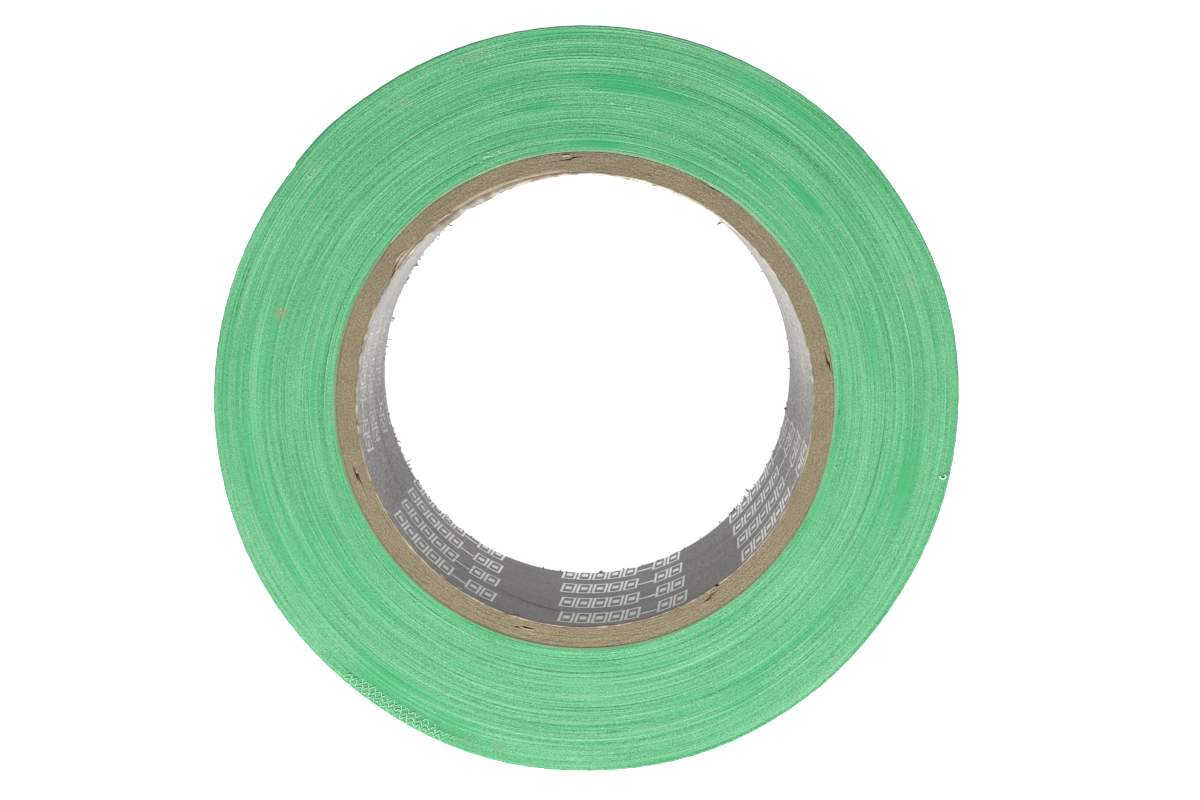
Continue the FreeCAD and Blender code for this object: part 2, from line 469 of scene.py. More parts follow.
# the liner's print, on the wall unrolled: millimetres round the bore and up it
PRINT_GROUPS = 7  # groups of cells round the bore in each row
PRINT_CELLS = 8  # in one group
PRINT_CELL_PITCH = 2.87
PRINT_CELL_WIDTH = 2.52
PRINT_CELL_HEIGHT = 8.6
PRINT_LINE = 0.44
PRINT_BAR_CELL = 5  # this one is only a low bar between its neighbours
PRINT_ROW_PITCH = 13.3
PRINT_LEAN = 0.065  # how far a cell leans along the row, for each millimetre up
PRINT_SLOPE = 0.056  # rise of a row, for each millimetre along it
PRINT_START = math.radians(211.5) * BORE
# how much of the ink shows: angle in degrees, share of the full strength; it is lower on the upper walls,
# partly worn print and partly glare painted as missing ink
PRINT_WEAR_AND_GLARE = [
    (150, 0.45), (190, 0.56), (212, 0.74), (236, 0.88), (262, 1.0), (322, 1.0), (340, 0.68), (354, 0.6),
    (360, 0.45),
]
# one row crosses 229 degrees at 8.9 mm down the wall
PRINT_ROW_HEIGHT = WIDTH - 8.9 - PRINT_SLOPE * BORE * (math.radians(229) - TAU)


# ---- the wound tape ----


# where the outer turns don't lie quite tight: angle and half width in degrees, how far they stand out
RIM_BUMPS = [
    (16, 18, 0.25), (70, 24, -0.12), (178, 60, -0.08), (208, 20, 0.14), (254, 20, 0.25), (286, 22, 0.2),
    (314, 28, -0.15), (327, 20, -0.2), (340, 30, -0.22), (133, 9, 0.22),
]
RIM_SWELL = [(296, 1, 0.42), (87, 2, 0.15)]  # off-centre, then oval: towards, waves round the rim, size
TIGHT = 52  # the turns inside this radius lie tight and round


def outward(radius, angle):
    """The radius with the rim's swell and bumps, which fade towards the inner turns."""
    bumps = 0.1 + sum(size * hill(angle, degrees, reach) for degrees, reach, size in RIM_BUMPS)
    for degrees, waves, size in RIM_SWELL:
        bumps = bumps + size * np.cos(waves * (angle - math.radians(degrees)))
    return radius + bumps * np.clip((radius - TIGHT) / (ROLL - TIGHT), 0, 1.1) ** 2


# patches on the upper face: distance from the axis, angle in degrees, half sizes outwards and along, and
# strength; HAZE is scuffed, STAIN is brown, RICH is a deeper green and SHADE is dark
HAZE = [
    (60.6, 106, 1.2, 3.5, 0.9), (58.2, 112, 0.9, 1.8, 0.9), (58.2, 121, 1.2, 2.6, 0.8),
    (59.7, 139.5, 1.0, 2.4, 0.8), (43.7, 109, 0.7, 3.0, 0.9), (44.0, 101, 0.4, 5.0, 0.5),
    (60.8, 221, 1.2, 4.0, 0.7), (58.0, 20, 2.4, 1.6, 0.7), (47.6, 24, 1.0, 1.2, 0.7),
    (60.2, 7, 1.6, 1.6, 0.5), (61.2, 76, 0.8, 2.6, 1.0), (61.5, 63, 0.5, 7.0, 0.5),
    (51.4, 55, 1.3, 13.0, 0.5), (57.7, 12, 0.5, 14.0, 0.4), (44.2, 40, 0.8, 5.0, 0.4),
    (49.4, 315, 0.8, 11.0, 0.4), (61.0, 314, 0.9, 14.0, 0.6), (61.3, 197, 0.8, 13.0, 0.6),
    (47.9, 140, 0.5, 12.0, 0.3), (50.6, 242, 0.4, 9.0, 0.4), (61.2, 238, 1.2, 11.0, 0.6),
    (57.2, 266, 0.5, 9.0, 0.4),
]
STAIN = [
    (57.4, 20.3, 0.8, 0.7, 0.5), (52.7, 163.5, 1.0, 0.9, 0.8), (52.9, 157, 0.5, 0.6, 0.3),
    (60.2, 256, 0.6, 0.8, 0.5), (60.4, 251, 0.4, 0.6, 0.35), (59.6, 74, 0.4, 0.7, 0.3),
]
RICH = [
    (50.2, 43, 1.3, 4.6, 1.0), (54.2, 86, 0.8, 8.0, 0.7), (52.6, 84.5, 1.0, 5.0, 1.0),
    (52.6, 75, 1.0, 6.0, 0.6), (55.2, 57, 1.0, 4.5, 0.6), (59.6, 58, 1.5, 12.0, 0.6),
    (61.2, 95, 0.6, 9.0, 0.8), (49.7, 99, 1.0, 2.4, 0.8), (43.2, 87, 0.8, 4.5, 1.0),
    (47.7, 54, 1.2, 5.5, 0.6), (52.7, 34, 0.7, 6.0, 0.4), (48.8, 10, 1.0, 9.0, 0.35),
    (54.7, 105, 1.0, 4.0, 0.4), (58.8, 234, 1.2, 6.5, 1.0), (58.9, 247, 1.0, 5.0, 0.8),
    (56.4, 236, 1.2, 8.0, 0.7), (57.0, 298, 1.5, 5.0, 0.55), (55.7, 346, 1.2, 7.5, 0.7),
    (52.3, 344, 0.6, 7.0, 0.5), (49.4, 220, 1.5, 9.0, 0.4), (46.4, 282, 1.2, 9.0, 0.4),
    (57.0, 190, 1.5, 8.0, 0.3), (53.0, 210, 1.5, 8.0, 0.3), (44.6, 68, 1.0, 8.0, 0.3),
]
SHADE = [
    (56.3, 275, 0.14, 1.8, 0.9), (56.5, 262, 0.1, 14, 0.4), (53.5, 142, 0.12, 1.2, 0.8),
    (58.6, 72.5, 0.24, 0.24, 1.8), (54.2, 250, 0.12, 1.2, 0.7), (61.0, 239.5, 1.3, 12.0, 0.3),
    (50.2, 110, 0.12, 0.8, 0.5), (51.6, 104, 0.12, 1.0, 0.5), (45.4, 300, 0.12, 5, 0.35),
]


def patches(table, radius, angle):
    """The sum of soft oval patches at each place."""
    total = 0
    for at_radius, degrees, wide, long, strength in table:
        arc = ((angle - math.radians(degrees) + math.pi) % TAU - math.pi) * radius
        away = np.hypot((radius - at_radius) / wide, arc / long)
        total = total + strength * ease((1.6 - away) / 1.6)
    return total


def wound_look(turn, around, angle, groove, upper):
    """Heights and colour values of a wound face.

    turn counts turns from the core, around is the share of the last one, and groove is each turn's radius.
    Streaks run on along the tape from one turn into the next; moods and patches belong to the face.
    """
    steps = turn.shape[0]
    along = np.rint(turn * steps).astype(int)  # places since the tape's start
    places = (TURNS + 1) * steps
    share = turn / (TURNS + 1)
    wave, faint = smooth_noise(places, 7 * TURNS)[along], smooth_noise(places, 30 * TURNS)[along]
    strength = (smooth_noise(places, TURNS)[along] * 0.5 + 0.5) ** 2
    line = wave * (0.25 + strength)
    pale, dark = np.clip(line - 0.3, 0, 1), np.clip(-line - 0.35, 0, 1)
    bands = smooth_field(share, around, 24, 7) * 0.6 + smooth_field(share, around, 60, 11) * 0.4
    mood = smooth_field(share, around, 26, 11) * 0.6 + smooth_field(share, around, 70, 17) * 0.5
    level = bands * 0.03 + pale * 0.07 - dark * 0.09 + faint * 0.02

    # the turns next to the core are browner, darker at the lower left and paler towards the upper right
    by_core = np.clip(1 - (groove - CORE) / 0.6, 0, 1)
    to_right = (0.5 + 0.5 * np.cos(angle - math.radians(40))) ** 2
    # in the tone, pale streaks and higher bands are painted highlight on turns that stand proud, and dark
    # streaks are painted shade on turns that lie back
    look = {
        "rich": np.clip(mood - 0.1, 0, 1) * 0.7,
        "haze": np.clip(-0.1 - mood, 0, 1) * 0.7 + by_core * to_right,
        "stain": by_core * (0.85 - 0.35 * to_right),
        "tone": bands * 0.05 + pale * 0.65 - dark * 0.4 + faint * 0.28 + by_core * (1.3 * to_right - 0.9),
    }
    if upper:
        look["rich"] = look["rich"] + patches(RICH, groove, angle)
        look["haze"] = look["haze"] + 0.75 * patches(HAZE, groove, angle)
        look["stain"] = look["stain"] + patches(STAIN, groove, angle)
        look["tone"] = look["tone"] - patches(SHADE, groove, angle)
    return level, look


# the same values on the hidden wall by the core, where they tint the edge of the first turn
WALL_LOOK = {"rich": 0.0, "haze": 0.5, "stain": 0.6, "tone": 0.1}

TUCK = 0.05  # how far inside the last turn's start the outermost turns stay, where it lies over them


def wound_half(name, upper, material):
    """Half of the wound turns: a closed solid whose face is a spiral of edges, with a groove beside each."""
    steps = 316  # places in one turn
    around = np.arange(steps)[:, None] / steps
    turn = np.arange(TURNS + 1)[None, :] + around
    angle = np.broadcast_to(END_ANGLE + around * TAU, turn.shape)
    groove = ROLL - 2 * THICK - (TURNS - turn) * THICK
    level, look = wound_look(turn, around, angle, groove, upper)

    def pairs(at_groove, at_crest):
        """The values at each turn's groove and crest, one after the other, then at the outermost groove."""
        both = np.stack([at_groove[:, :-1], at_crest[:, :-1]], axis=-1).reshape(steps, -1)
        return np.hstack([both, at_groove[:, -1:]])

    groove_depth = 0.035  # below the lower of the crests beside it
    below = np.minimum(level, np.hstack([level[:, :1], level[:, :-1]])) - groove_depth
    height = pairs(below, level) - 0.02
    lower_face = 0.2  # its height, so that none of its turns reaches the ground
    z = WIDTH + height if upper else lower_face - height
    radius = outward(pairs(groove, groove + THICK / 2), angle[:, :1])
    covered = np.clip(((around - 1) * TAU + END_SPAN + UNDER_END) / 0.1, 0, 1)
    radius[:, -1:] -= TUCK * covered

    # each place's loop of points: the wall by the core, the face's grooves and crests, the mid-width
    wall = np.full((steps, 1), CORE + 0.01)
    middle = np.full((steps, 1), WIDTH / 2)
    radius = np.hstack([wall, wall, radius, radius[:, -1:]])
    z = np.hstack([middle, z[:, :1] - (0.03 if upper else -0.03), z, middle])
    points = ring(radius, angle[:, :1], z)
    loop = points.shape[1]
    last, ends = steps * loop, loop - 1
    beyond = radius[0, -1] + np.array([0.5 * THICK, THICK - TUCK, THICK - TUCK])  # the outermost turn's end
    extra = ring(beyond, END_ANGLE, [z[0, -2], z[0, -2], WIDTH / 2])
    points = np.vstack([points.reshape(-1, 3), extra])

    # one place past the last is the first place again, but a turn further out
    ahead = [[place * loop + k for k in range(loop)] for place in range(1, steps)]
    ahead.append([0, 1, *range(4, loop - 1), *range(last, last + 3)])
    faces = []
    for place, following in enumerate(ahead):
        here = [place * loop + k for k in range(loop)]
        faces += [[here[k], following[k], following[k + 1], here[k + 1]] for k in range(ends)]
        faces.append([here[ends], following[ends], following[0], here[0]])
    faces[-1] = [ahead[-2][ends], last + 2, ends, 0, ahead[-2][0]]
    faces += [[1, 2, 3, 4], [ends - 1, ends, last + 2, last + 1, last]]  # the cut start and end
    if upper:
        faces = [face[::-1] for face in faces]

    def everywhere(values, at_wall):
        inside = np.full((steps, 2), at_wall)
        whole = np.hstack([inside, pairs(values, values), inside[:, :1]])
        return np.concatenate([whole.ravel(), np.full(3, at_wall)])

    values = {key: everywhere(field, WALL_LOOK[key]) for key, field in look.items()}
    piece = mesh(name, points, faces, material, values)
    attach(piece, "roll")
    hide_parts("tape_pack", "tape_first_turn")


def weave(along, across):
    """Relief of the cloth under its film, in millimetres."""
    return 0.022 * np.sin(math.pi * along / YARN) * np.sin(math.pi * across / YARN)


def tape_strip(name, start, stop, lift, materials, upper_edge):
    """A closed strip of the outermost tape from one angle to another.

    Angles are the winding's own: the tape's cut end is at END_ANGLE, a full turn earlier is END_ANGLE - TAU.
    lift(angle) is its height off the roll, and upper_edge(angle) how far its upper edge rises. The materials
    are those of its outer face, its edges and its inner face.
    """
    step = YARN / 3.5  # seven points to a wave of the weave
    columns = int((stop - start) * ROLL / step) + 1
    rows = int(WIDTH / step) + 1
    angle = np.linspace(start, stop, columns)[:, None]
    base = outward(ROLL - THICK * (END_ANGLE - angle) / TAU, angle) + lift(angle)
    along = angle * ROLL
    low, high = 0.12, WIDTH - 0.14 + upper_edge(angle)  # just inside the roll's faces
    outer_height = low + (high - low) * np.linspace(0, 1, rows)[None, :]
    outer_radius = base + weave(along, outer_height)
    few = [0, rows // 3, 2 * rows // 3, rows - 1]  # the inner face is smooth, and needs fewer points across
    inner_height = outer_height[:, ::-1][:, few]
    inner_radius = np.repeat(base - THICK, len(few), axis=1)
    radius = np.concatenate([outer_radius, inner_radius], axis=1)
    height = np.concatenate([outer_height, inner_height], axis=1)
    points = ring(radius, angle, height)
    around = points.shape[1]
    faces = [face[::-1] for face in swept_faces(columns, around)]
    plain = np.zeros_like(radius)
    values = {"along": np.broadcast_to(along, radius.shape), "across": height}
    # the edges' tone is raised by 0.35: a painted highlight along the roll's lit rim
    values.update(tone=plain + 0.35, haze=plain, stain=plain)
    piece = mesh(name, points, faces, materials[0], values)
    for material in materials[1:]:
        piece.data.materials.append(material)
    outer_face, edges, inner_face = 0, 1, 2
    place = np.arange(len(piece.data.polygons)) % around
    slot = np.where(place < rows - 1, outer_face, inner_face)
    slot[(place == rows - 1) | (place == around - 1)] = edges
    slot[-2:] = edges  # the cut ends
    piece.data.polygons.foreach_set("material_index", slot.astype(np.int32))
    return piece


def outer_edge_wave():
    """The upper edge of the last turn rises and falls a little along it."""
    places = np.linspace(END_ANGLE - 1.3 * TAU, END_ANGLE, 400)
    heights = smooth_noise(400, 60) * 0.06 + smooth_noise(400, 14) * 0.05

    def wave(angle):
        return np.interp(angle, places, heights)

    return wave


def end_lift(angle):
    """The loose end stands off the roll a little towards its cut edge."""
    share = np.clip((angle - (END_ANGLE - END_SPAN)) / END_SPAN, 0, 1)
    return END_LIFT * share**3


def make_tape():
    """The wound turns, the last turn and its loose end, which stands a little off the roll towards its cut
    edge.
    """
    edges, film, adhesive = tape_edge_material(), film_material(), adhesive_material()
    wound_half("wound_turns_upper", True, edges)
    wound_half("wound_turns_lower", False, edges)

    wave = outer_edge_wave()
    root = END_ANGLE - END_SPAN
    start = END_ANGLE - TAU - END_SPAN - UNDER_END
    last = tape_strip("last_turn", start, root, nowhere, (film, edges, adhesive), wave)
    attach(last, "roll")
    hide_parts("last_turn_film", "last_turn_cloth", "last_turn_adhesive")

    end = tape_strip("tape_end", root, END_ANGLE, end_lift, (film, edges, adhesive), wave)
    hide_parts("tape_end_film", "tape_end_cloth", "tape_end_adhesive")
    corners = (ring(ROLL, angle, WIDTH / 2) * MM for angle in (root, root + END_BEND))
    first, beyond = (tuple(map(float, corner)) for corner in corners)
    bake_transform(end)


# ---- the core ----


def seam_opening(radius, gap):
    """Angle that a seam standing gap wide, square to its edges, leaves open along a circle."""
    slope = math.atan(SEAM_PITCH / (TAU * radius))
    return gap / math.sin(slope) / radius


def core_ring(name, number, seam, torn, material, node):
    """One strip of the core, whose seam opens at both faces.

    number counts strips out from the liner, seam is the angle and gap where its seam meets the upper face,
    and torn(angle) says where its upper edge is torn or roughened pale.
    """
    clear = 0.004  # so that neighbouring strips don't touch
    inner, outer = BOARD_RADII[number] + clear, BOARD_RADII[number + 1] - clear
    columns = 361
    opening = seam_opening(inner, seam[1])
    around = np.linspace(0, 1, columns)[:, None]

    # the strip's edges taper where they meet at the seam, the first outwards and the last inwards
    taper = math.radians(2.6) / (TAU - opening)
    taper_depth = 0.6 * (outer - inner)
    first = inner + taper_depth * np.clip(1 - around / taper, 0, 1)
    last = outer - taper_depth * np.clip(1 - (1 - around) / taper, 0, 1)

    # depths below the upper face where the wall has points, and how far down its seam each has leaned: the
    # edges lean near both faces only
    lean = 4.0
    near = [0.0, 0.25, 0.6, 1.4, 2.5, lean]
    depths = near + [WIDTH - depth for depth in reversed(near)]
    shifts = near + [2 * lean - depth for depth in reversed(near)]
    across = np.array([0.0, 0.03, 0.2, 0.4, 0.6, 0.8, 0.97, 1.0])
    rounding = -0.02  # of the upper face's two edges

    radii, heights, angles, tones = [], [], [], []

    def row(share, depth, shift, tone=0.0, change=0.0):
        """Points all along the strip, at a share of its thickness and a depth below its upper face."""
        leaned = math.radians(seam[0]) - shift / SEAM_PITCH * TAU
        radii.append(first + share * (last - first))
        heights.append(np.clip(WIDTH - depth + change + 0 * around, 0.02, WIDTH + 0.1))
        angles.append(leaned + opening / 2 + (TAU - opening) * around)
        tones.append(tone + 0 * around)

    for depth, shift in zip(reversed(depths), reversed(shifts)):
        row(0.0, depth, shift, change=rounding if depth == 0 else 0.0)
    rip = torn(angles[-1])
    ripple = smooth_noise(columns, 50)[:, None] * 0.012
    for share in across[1:-1]:
        rough = rng.normal(0, 0.008, (columns, 1)) + smooth_noise(columns, 120)[:, None] * 0.008
        drop = rip * (0.05 + 0.05 * smooth_noise(columns, 90)[:, None])
        row(share, 0.015, 0.0, 1.7 * rip + 3 * rough, ripple + rough - drop)
    for depth, shift in zip(depths, shifts):
        row(1.0, depth, shift, change=rounding if depth == 0 else 0.0)
    for share in across[-2:0:-1]:
        row(share, WIDTH, shifts[-1], change=0.06 + rng.normal(0, 0.02, (columns, 1)))

    points = ring(np.hstack(radii), np.hstack(angles), np.hstack(heights))
    faces = swept_faces(columns, len(radii))
    piece = mesh(name, points, faces, material, {"tone": np.hstack(tones)})
    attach(piece, "roll")
    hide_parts(node)


def torn_ply(angle):
    """Where the innermost ply is torn along with the liner, from 0 to 1."""
    return np.clip(1.5 * hill(angle, 112, 26), 0, 1) + hill(angle, 141, 6)


def rough_wrap(angle):
    """Where the outer wrap's edge is roughened pale, from 0 to 1."""
    return 0.4 * hill(angle, 40, 110)


def make_board():
    """The board plies and the wrap around them."""
    board = board_material("core_board", (98, 85, 62), (130, 118, 92), (169, 158, 133))
    brown = board_material("wrap_paper", (92, 82, 58), (122, 116, 88), (165, 157, 128))
    for number, (node, seam) in enumerate(zip(PLIES, PLY_SEAMS)):
        torn = torn_ply if number == 0 else nowhere
        core_ring(f"board_ply_{number + 1}", number, seam, torn, board, node)
    core_ring("core_wrap", len(PLIES), WRAP_SEAM, rough_wrap, brown, "core_outer_wrap")


def torn_depth(angle):
    """How far down the bore wall the liner's coating is torn away, in millimetres."""
    return 0.12 + sum(deep * hill(angle, degrees, reach) for degrees, reach, deep in TORN_EDGE)


def bent_inwards(angle):
    """How far the liner's upper edge is pushed into the bore."""
    return 0.08 + 0.8 * hill(angle, 121, 16) + 0.4 * hill(angle, 106, 14) + 0.15 * hill(angle, 68, 30)


def make_liner():
    """The bore wall: one helical strip of thin paper, with an open seam and a torn upper edge."""
    columns, rows = 661, 95  # points round the bore, and down its face
    opening = seam_opening(BORE, LINER_SEAM[1])
    depth = WIDTH * np.linspace(0, 1, rows)[None, :] ** 1.35  # the rows lie closer near the upper edge
    share = depth / WIDTH
    around = np.linspace(0, 1, columns)[:, None]
    angle = math.radians(LINER_SEAM[0]) - depth / SEAM_PITCH * TAU + opening / 2 + (TAU - opening) * around
    face_angle = angle[:, :1]
    back_radius = BOARD_RADII[0] - 0.006

    def along_edge(knots):
        """Smooth random values from -1 to 1 along the strip."""
        return smooth_noise(columns, knots)[:, None]

    # the face in the bore: it ripples, lifts at its seam, and bends inwards where its upper edge is torn
    ripple = smooth_field(share, around, 9, 26) * 0.05 + smooth_field(share, around, 40, 90) * 0.012
    lifted = np.clip(1 - np.minimum(around, 1 - around) / 0.012, 0, 1)
    torn = torn_depth(face_angle)
    bent = bent_inwards(face_angle) * (1 + 0.5 * along_edge(70))
    bent = bent + 0.15 * np.clip(torn, 0, 1) * np.abs(along_edge(150))
    inner = BORE + 0.02 - ripple - 0.05 * lifted * (around > 0.5) - bent * np.exp(-depth / 0.9)

    ragged = np.abs(rng.normal(0, 0.05, (columns, 1))) + torn * (0.03 + 0.03 * along_edge(110))
    heel = np.abs(rng.normal(0, 0.06, (columns, 1)))
    z = WIDTH - 0.03 - depth - ragged * np.clip(1 - share * 30, 0, 1) + heel * np.clip(share * 30 - 29, 0, 1)
    z = np.maximum(z, 0.03)

    # the upper edge, and the hidden back, which needs fewer rows
    across = np.array([[0.04, 0.3, 0.55, 0.8]])
    edge_radius = back_radius + (inner[:, :1] - back_radius) * across
    edge_height = z[:, :1] + 0.12 * np.sin(math.pi * across) + rng.normal(0, 0.03, (columns, across.size))
    back = np.linspace(rows - 1, 0, 34).astype(int)
    sides = (
        ring(inner, angle, z),
        ring(back_radius, angle[:, back], z[:, back]),
        ring(edge_radius, face_angle, edge_height),
    )
    points = np.concatenate(sides, axis=1)
    caps = []
    for i, (high, low) in enumerate(zip(back, back[1:])):
        caps.append([*range(low, high + 1), rows + i, rows + i + 1])
    caps.append([*range(rows + back.size - 1, points.shape[1]), 0])
    faces = [face[::-1] for face in swept_faces(columns, points.shape[1], caps)]

    # where the coating is torn off the face, how dark or pale the paper is, and a painted shadow along the
    # open seam
    specks = np.clip(along_edge(260) - 0.4, 0, 1) * (0.15 + hill(face_angle, 222, 40))
    edge = torn * (1 + 0.5 * along_edge(160)) + specks
    bare = ease((edge - depth) / (0.15 + 0.3 * edge) + 0.5)
    # the -1.0 along the seam's lifted edges is painted shadow in the open seam; the darkening round 128
    # degrees where the coating is torn is the torn paper's own colour
    shade = np.where(lifted > 0.8, -1.0, 0.0) - bare * hill(angle, 128, 36)
    edge_shade = 0.35 * hill(face_angle, 62, 30) + 0.4 * along_edge(200)
    coated_edge = 0.8 * hill(face_angle, 145, 34) * (along_edge(170) > 0.1)
    # the ink's strength, lower on the upper walls: partly worn print, partly glare painted as missing ink
    printed = np.interp(np.degrees(angle) % 360, *zip(*PRINT_WEAR_AND_GLARE))
    beside = back.size + across.size  # points of the back and the upper edge
    values = {
        "bare": np.hstack([bare, np.repeat(1 - coated_edge, beside, axis=1)]),
        "ink": np.hstack([printed, np.zeros((columns, beside))]),
        "tone": np.hstack([shade, np.repeat(edge_shade, beside, axis=1)]),
    }
    piece = mesh("bore_liner", points, faces, liner_material(), values)
    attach(piece, "roll")
    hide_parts("core_liner")


# where the liner's upper edge is torn: angle and half width in degrees, depth
TORN_EDGE = [
    (113, 24, 3.2), (129, 4, 2.0), (141, 5, 3.2), (152, 5, 1.2), (92, 5, 0.8), (70, 30, 0.5),
    (160, 16, 0.15), (186, 24, 0.15), (206, 10, 0.1), (228, 22, 0.05),
]


# ---- loose fibres ----


def tube(route, radius, sides):
    """Points and faces of a thin closed tube along a route, thinner at both ends."""
    route = np.asarray(route, dtype=float)
    along = np.gradient(route, axis=0)
    along /= np.linalg.norm(along, axis=1)[:, None]
    aside = np.cross(along, (0.3, 0.2, 1.0))
    aside /= np.linalg.norm(aside, axis=1)[:, None] + 1e-9
    upright = np.cross(aside, along)
    turn = np.arange(sides) * TAU / sides
    taper = np.minimum(1, np.minimum(np.arange(len(route)), np.arange(len(route))[::-1]) * 0.5 + 0.35)
    offset = aside[:, None] * np.cos(turn)[None, :, None] + upright[:, None] * np.sin(turn)[None, :, None]
    points = route[:, None] + offset * (radius * taper)[:, None, None]
    return points.reshape(-1, 3), swept_faces(len(route), sides)


def bundle(name, tubes, material):
    """Several tubes as one piece."""
    points, faces, start = [], [], 0
    for tube_points, tube_faces in tubes:
        points.append(tube_points)
        faces += [[start + index for index in face] for face in tube_faces]
        start += len(tube_points)
    piece = mesh(name, np.concatenate(points), faces, material)
    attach(piece, "roll")
    return piece


def stroke(start, end, bow, lift):
    """A short yarn from one (radius, degrees) to another on the upper face, bowed out and lifted midway."""
    route = []
    for share in np.linspace(0, 1, 6):
        radius = start[0] + share * (end[0] - start[0]) + bow * math.sin(share * math.pi)
        angle = math.radians(start[1] + share * (end[1] - start[1]))
        route.append(ring(outward(radius, angle), angle, WIDTH - 0.01 + lift * math.sin(share * math.pi)))
    return route


def frayed_rows():
    """Rows of crossing yarn ends, where the outer turns are frayed."""
    frays = []
    for row_radius, first, last in FRAYED_ROWS:
        degrees = first
        out = 1
        while degrees < last:
            step = rng.uniform(0.45, 0.75)
            reach = rng.uniform(0.3, 0.5)
            start = (row_radius - out * reach, degrees)
            end = (row_radius + out * reach, degrees + step)
            if rng.random() < 0.2 + min(degrees - first, last - degrees) / 4:  # sparse at both ends of a row
                frays.append(tube(stroke(start, end, rng.normal(0, 0.08), 0.0), rng.uniform(0.07, 0.1), 5))
            degrees += step
            out = -out
    return frays


def loose_flecks():
    """Single yarn ends, lying along the turns and a little across them."""
    flecks = []
    for at_radius, low, high, count in YARN_FLECKS:
        for _ in range(count):
            start = (at_radius + rng.normal(0, 0.3), rng.uniform(low, high))
            length, lean = rng.uniform(0.25, 0.7), rng.choice((-1, 1)) * rng.uniform(0.3, 1.0)
            turned = math.degrees(math.cos(lean) * length / at_radius)
            end = (start[0] + math.sin(lean) * length, start[1] + turned)
            flecks.append(tube(stroke(start, end, 0.0, rng.uniform(0.03, 0.1)), rng.uniform(0.03, 0.05), 4))
    return flecks


def yarn_curl():
    """One white yarn end curled up on the outer turns, open towards the far left."""
    route = []
    centre = np.array(ring(61.35, math.radians(348.3), WIDTH + 0.05))
    for share in np.linspace(0, 1, 22):
        turn = math.radians(150 + 290 * share)
        reach = 0.52 - 0.1 * share
        route.append(centre + (reach * math.cos(turn), 0.8 * reach * math.sin(turn), 0.06 * share))
    return tube(route, 0.12, 6)


def make_threads():
    """Yarn ends that stand out of the turns' edges on the upper face."""
    white = thread_material("loose_yarn", (196, 226, 202), 0.6)
    pale = thread_material("frayed_yarn", (148, 212, 166), 0.8)
    bundle("frayed_edge", frayed_rows(), pale)
    bundle("edge_flecks", loose_flecks(), white)
    bundle("yarn_curl", [yarn_curl()], white)


# rows of frayed yarn on the upper face: distance from the axis, from and to in degrees
FRAYED_ROWS = [(60.3, 230, 245), (61.0, 227, 249), (61.7, 226, 249)]

# loose yarn ends on the upper face: distance from the axis, from and to in degrees, how many
YARN_FLECKS = [
    (46.4, 66, 76, 6), (46.6, 50, 64, 7), (49.7, 80, 86, 6), (51.6, 85, 89, 4), (50.6, 103, 108, 4),
    (60.2, 313, 316, 3), (43.6, 345, 348, 4), (57.5, 118, 124, 7), (60.0, 104, 112, 12),
    (44.0, 106, 113, 12), (58.6, 19, 24, 5), (52.6, 162, 166, 3), (45.5, 148, 152, 5),
    (44.6, 140, 143, 5), (59.4, 138, 142, 8),
]


def torn_fibres():
    """Paper fibres hanging along the liner's torn upper edge."""
    fibres = []
    for degrees, reach, deep in TORN_EDGE:
        for _ in range(int(reach * (0.5 + deep / 3))):
            at = degrees + rng.normal(0, reach * 0.4)
            length, depth = rng.uniform(0.4, 1.6), abs(rng.normal(0, 0.25 + deep / 4))
            out = BORE - 0.05 - rng.uniform(0, 1) * float(bent_inwards(math.radians(at)))
            slope = rng.normal(0, 0.25)
            route = []
            for share in np.linspace(0, 1, 5):
                bow = 0.12 * math.sin(share * math.pi)
                angle = math.radians(at) + length * share / BORE
                route.append(ring(out - bow, angle, WIDTH - 0.05 - min(depth, 1.5) + slope * share))
            fibres.append(tube(route, rng.uniform(0.04, 0.09), 4))
    return fibres


def paper_slivers():
    """Strips of paper that stand in a seam or lie torn loose."""
    slivers = []
    for out, degrees, length, thick in PAPER_SLIVERS:
        route = []
        for share in np.linspace(0, 1, 9):
            bow = math.sin(share * math.pi)
            angle = math.radians(degrees) + length * (share - 0.5) / out
            route.append(ring(out + 0.1 * bow, angle, WIDTH - 0.12 + 0.14 * bow))
        slivers.append(tube(route, thick, 6))
    return slivers


def cut_fibres():
    """Short fibres that stand into the bore from the liner's cut lower edge."""
    fibres = []
    tufts = [rng.normal(middle, spread, count) for middle, spread, count in LOWER_TUFTS]
    for degrees in np.concatenate(tufts):
        angle = math.radians(degrees)
        length = rng.uniform(0.15, 0.6) * (2 if rng.random() < 0.15 else 1)
        lean = rng.normal(0, 1.0)
        route = []
        for share in np.linspace(0, 1, 4):
            out = BORE + 0.05 - length * share * math.cos(lean)
            route.append(ring(out, angle + length * share * math.sin(lean) / BORE, 0.25 + 0.15 * share))
        fibres.append(tube(route, rng.uniform(0.08, 0.15), 4))
    return fibres


def make_paper_fray():
    """Torn paper along both edges of the bore wall, and slivers standing in the seams."""
    paper = thread_material("paper_fibre", (166, 156, 134), 0.9)
    grey = thread_material("grey_fibre", (88, 84, 78), 0.9)
    bundle("liner_fray_upper", torn_fibres() + paper_slivers(), paper)
    bundle("liner_fray_lower", cut_fibres(), grey)


# where fibres stand on the liner's lower edge: angle and spread in degrees, how many
LOWER_TUFTS = [
    (318, 4, 26), (204, 7, 14), (222, 8, 14), (138, 2, 9), (149, 4, 16), (98, 5, 8), (275, 12, 10),
    (180, 180, 70),
]

# paper standing in a seam or torn loose: distance from the axis, angle in degrees, length, thickness
PAPER_SLIVERS = [
    (39.62, 255.6, 3.0, 0.13), (40.1, 202.3, 1.3, 0.09), (41.1, 94.3, 1.6, 0.15),
    (39.2, 141.3, 3.2, 0.14), (38.5, 125.2, 1.0, 0.13), (38.8, 108, 2.5, 0.08), (38.7, 127, 2.0, 0.09),
    (38.3, 62, 6.0, 0.06),
]


# ---- the studio ----


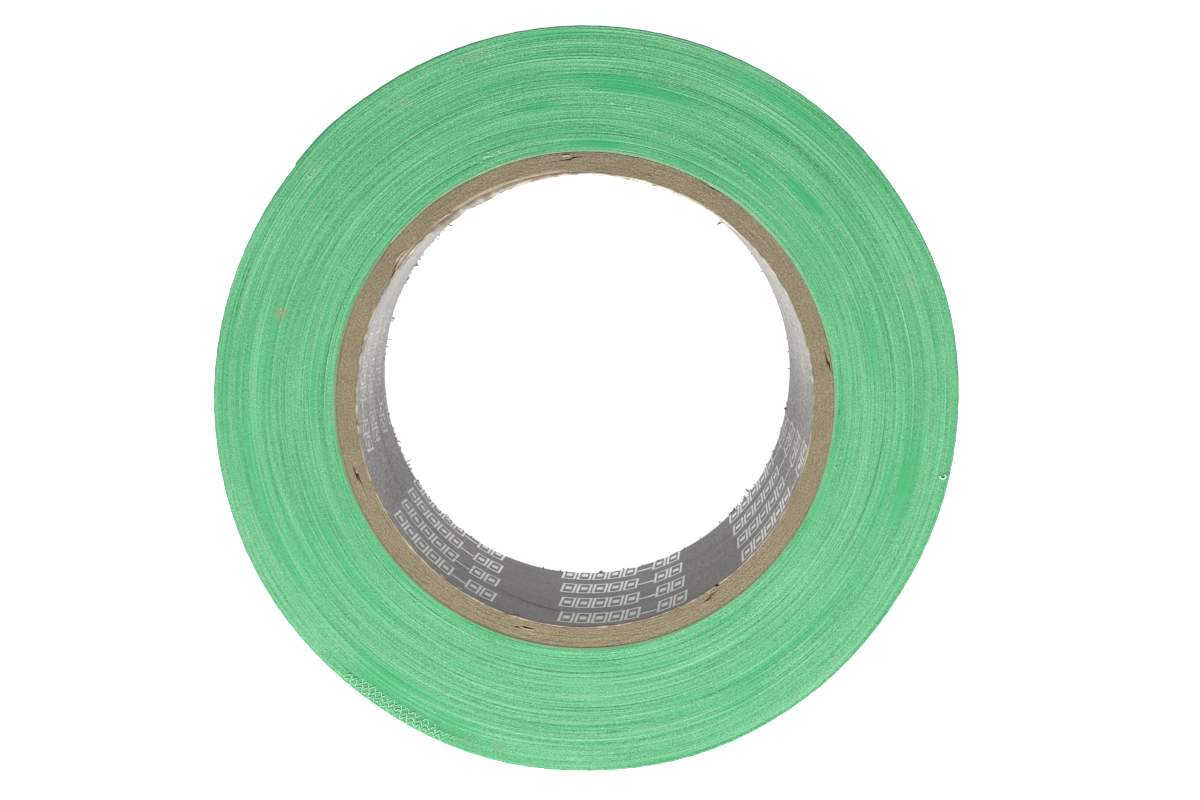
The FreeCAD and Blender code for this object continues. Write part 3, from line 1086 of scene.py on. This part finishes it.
def make_camera():
    """Looking down from above the core's far side, tilted back to the roll's middle; fitted to the photo."""
    data = bpy.data.cameras.new("camera")
    data.sensor_width = 36
    data.lens = 70.08
    data.clip_end = 50
    camera = bpy.data.objects.new("camera", data)
    pitch, yaw = math.radians(6.23), math.radians(-0.13)
    to_camera = Matrix.Rotation(pitch, 3, "X") @ Matrix.Rotation(yaw, 3, "Y")
    place = Vector((3.42, 42.80, WIDTH + 388.2)) * MM
    camera.matrix_world = Matrix.Translation(place) @ to_camera.transposed().to_4x4()
    bpy.context.scene.collection.objects.link(camera)
    bpy.context.scene.camera = camera


def area_light(name, place, aim, size, power):
    data = bpy.data.lights.new(name, "AREA")
    data.shape = "RECTANGLE"
    data.size, data.size_y = size
    data.energy = power
    light = bpy.data.objects.new(name, data)
    light.location = place
    light.rotation_euler = (Vector(aim) - Vector(place)).to_track_quat("-Z", "Y").to_euler()
    bpy.context.scene.collection.objects.link(light)


def make_studio():
    """A pale floor, an even sky and one soft light at each front corner, whose places are in metres."""
    floor_paint = Paint("floor", 0.9)
    floor_paint.shader.inputs["Base Color"].default_value = (0.9, 0.9, 0.9, 1)
    floor_paint.shader.inputs["Emission Color"].default_value = (1, 1, 1, 1)
    floor_paint.shader.inputs["Emission Strength"].default_value = 0.9
    half = 6000  # millimetres, as mesh() takes them
    corners = [(-half, -half, 0), (half, -half, 0), (half, half, 0), (-half, half, 0)]
    floor = mesh("floor", np.array(corners), [[0, 1, 2, 3]], floor_paint.material, smooth=False)

    world = bpy.data.worlds.new("world")
    world.use_nodes = True
    world.node_tree.nodes["Background"].inputs["Color"].default_value = (1, 1, 1, 1)
    world.node_tree.nodes["Background"].inputs["Strength"].default_value = 0.12
    bpy.context.scene.world = world
    for side in (-1, 1):
        area_light(f"front_{side}", (0.6 * side, -0.6, 0.5), (0, 0, 0.03), (0.6, 0.5), 13.5)
    bpy.context.scene.view_settings.view_transform = "Standard"


make_camera()
make_tape()
make_board()
make_liner()
make_threads()
make_paper_fray()
make_studio()
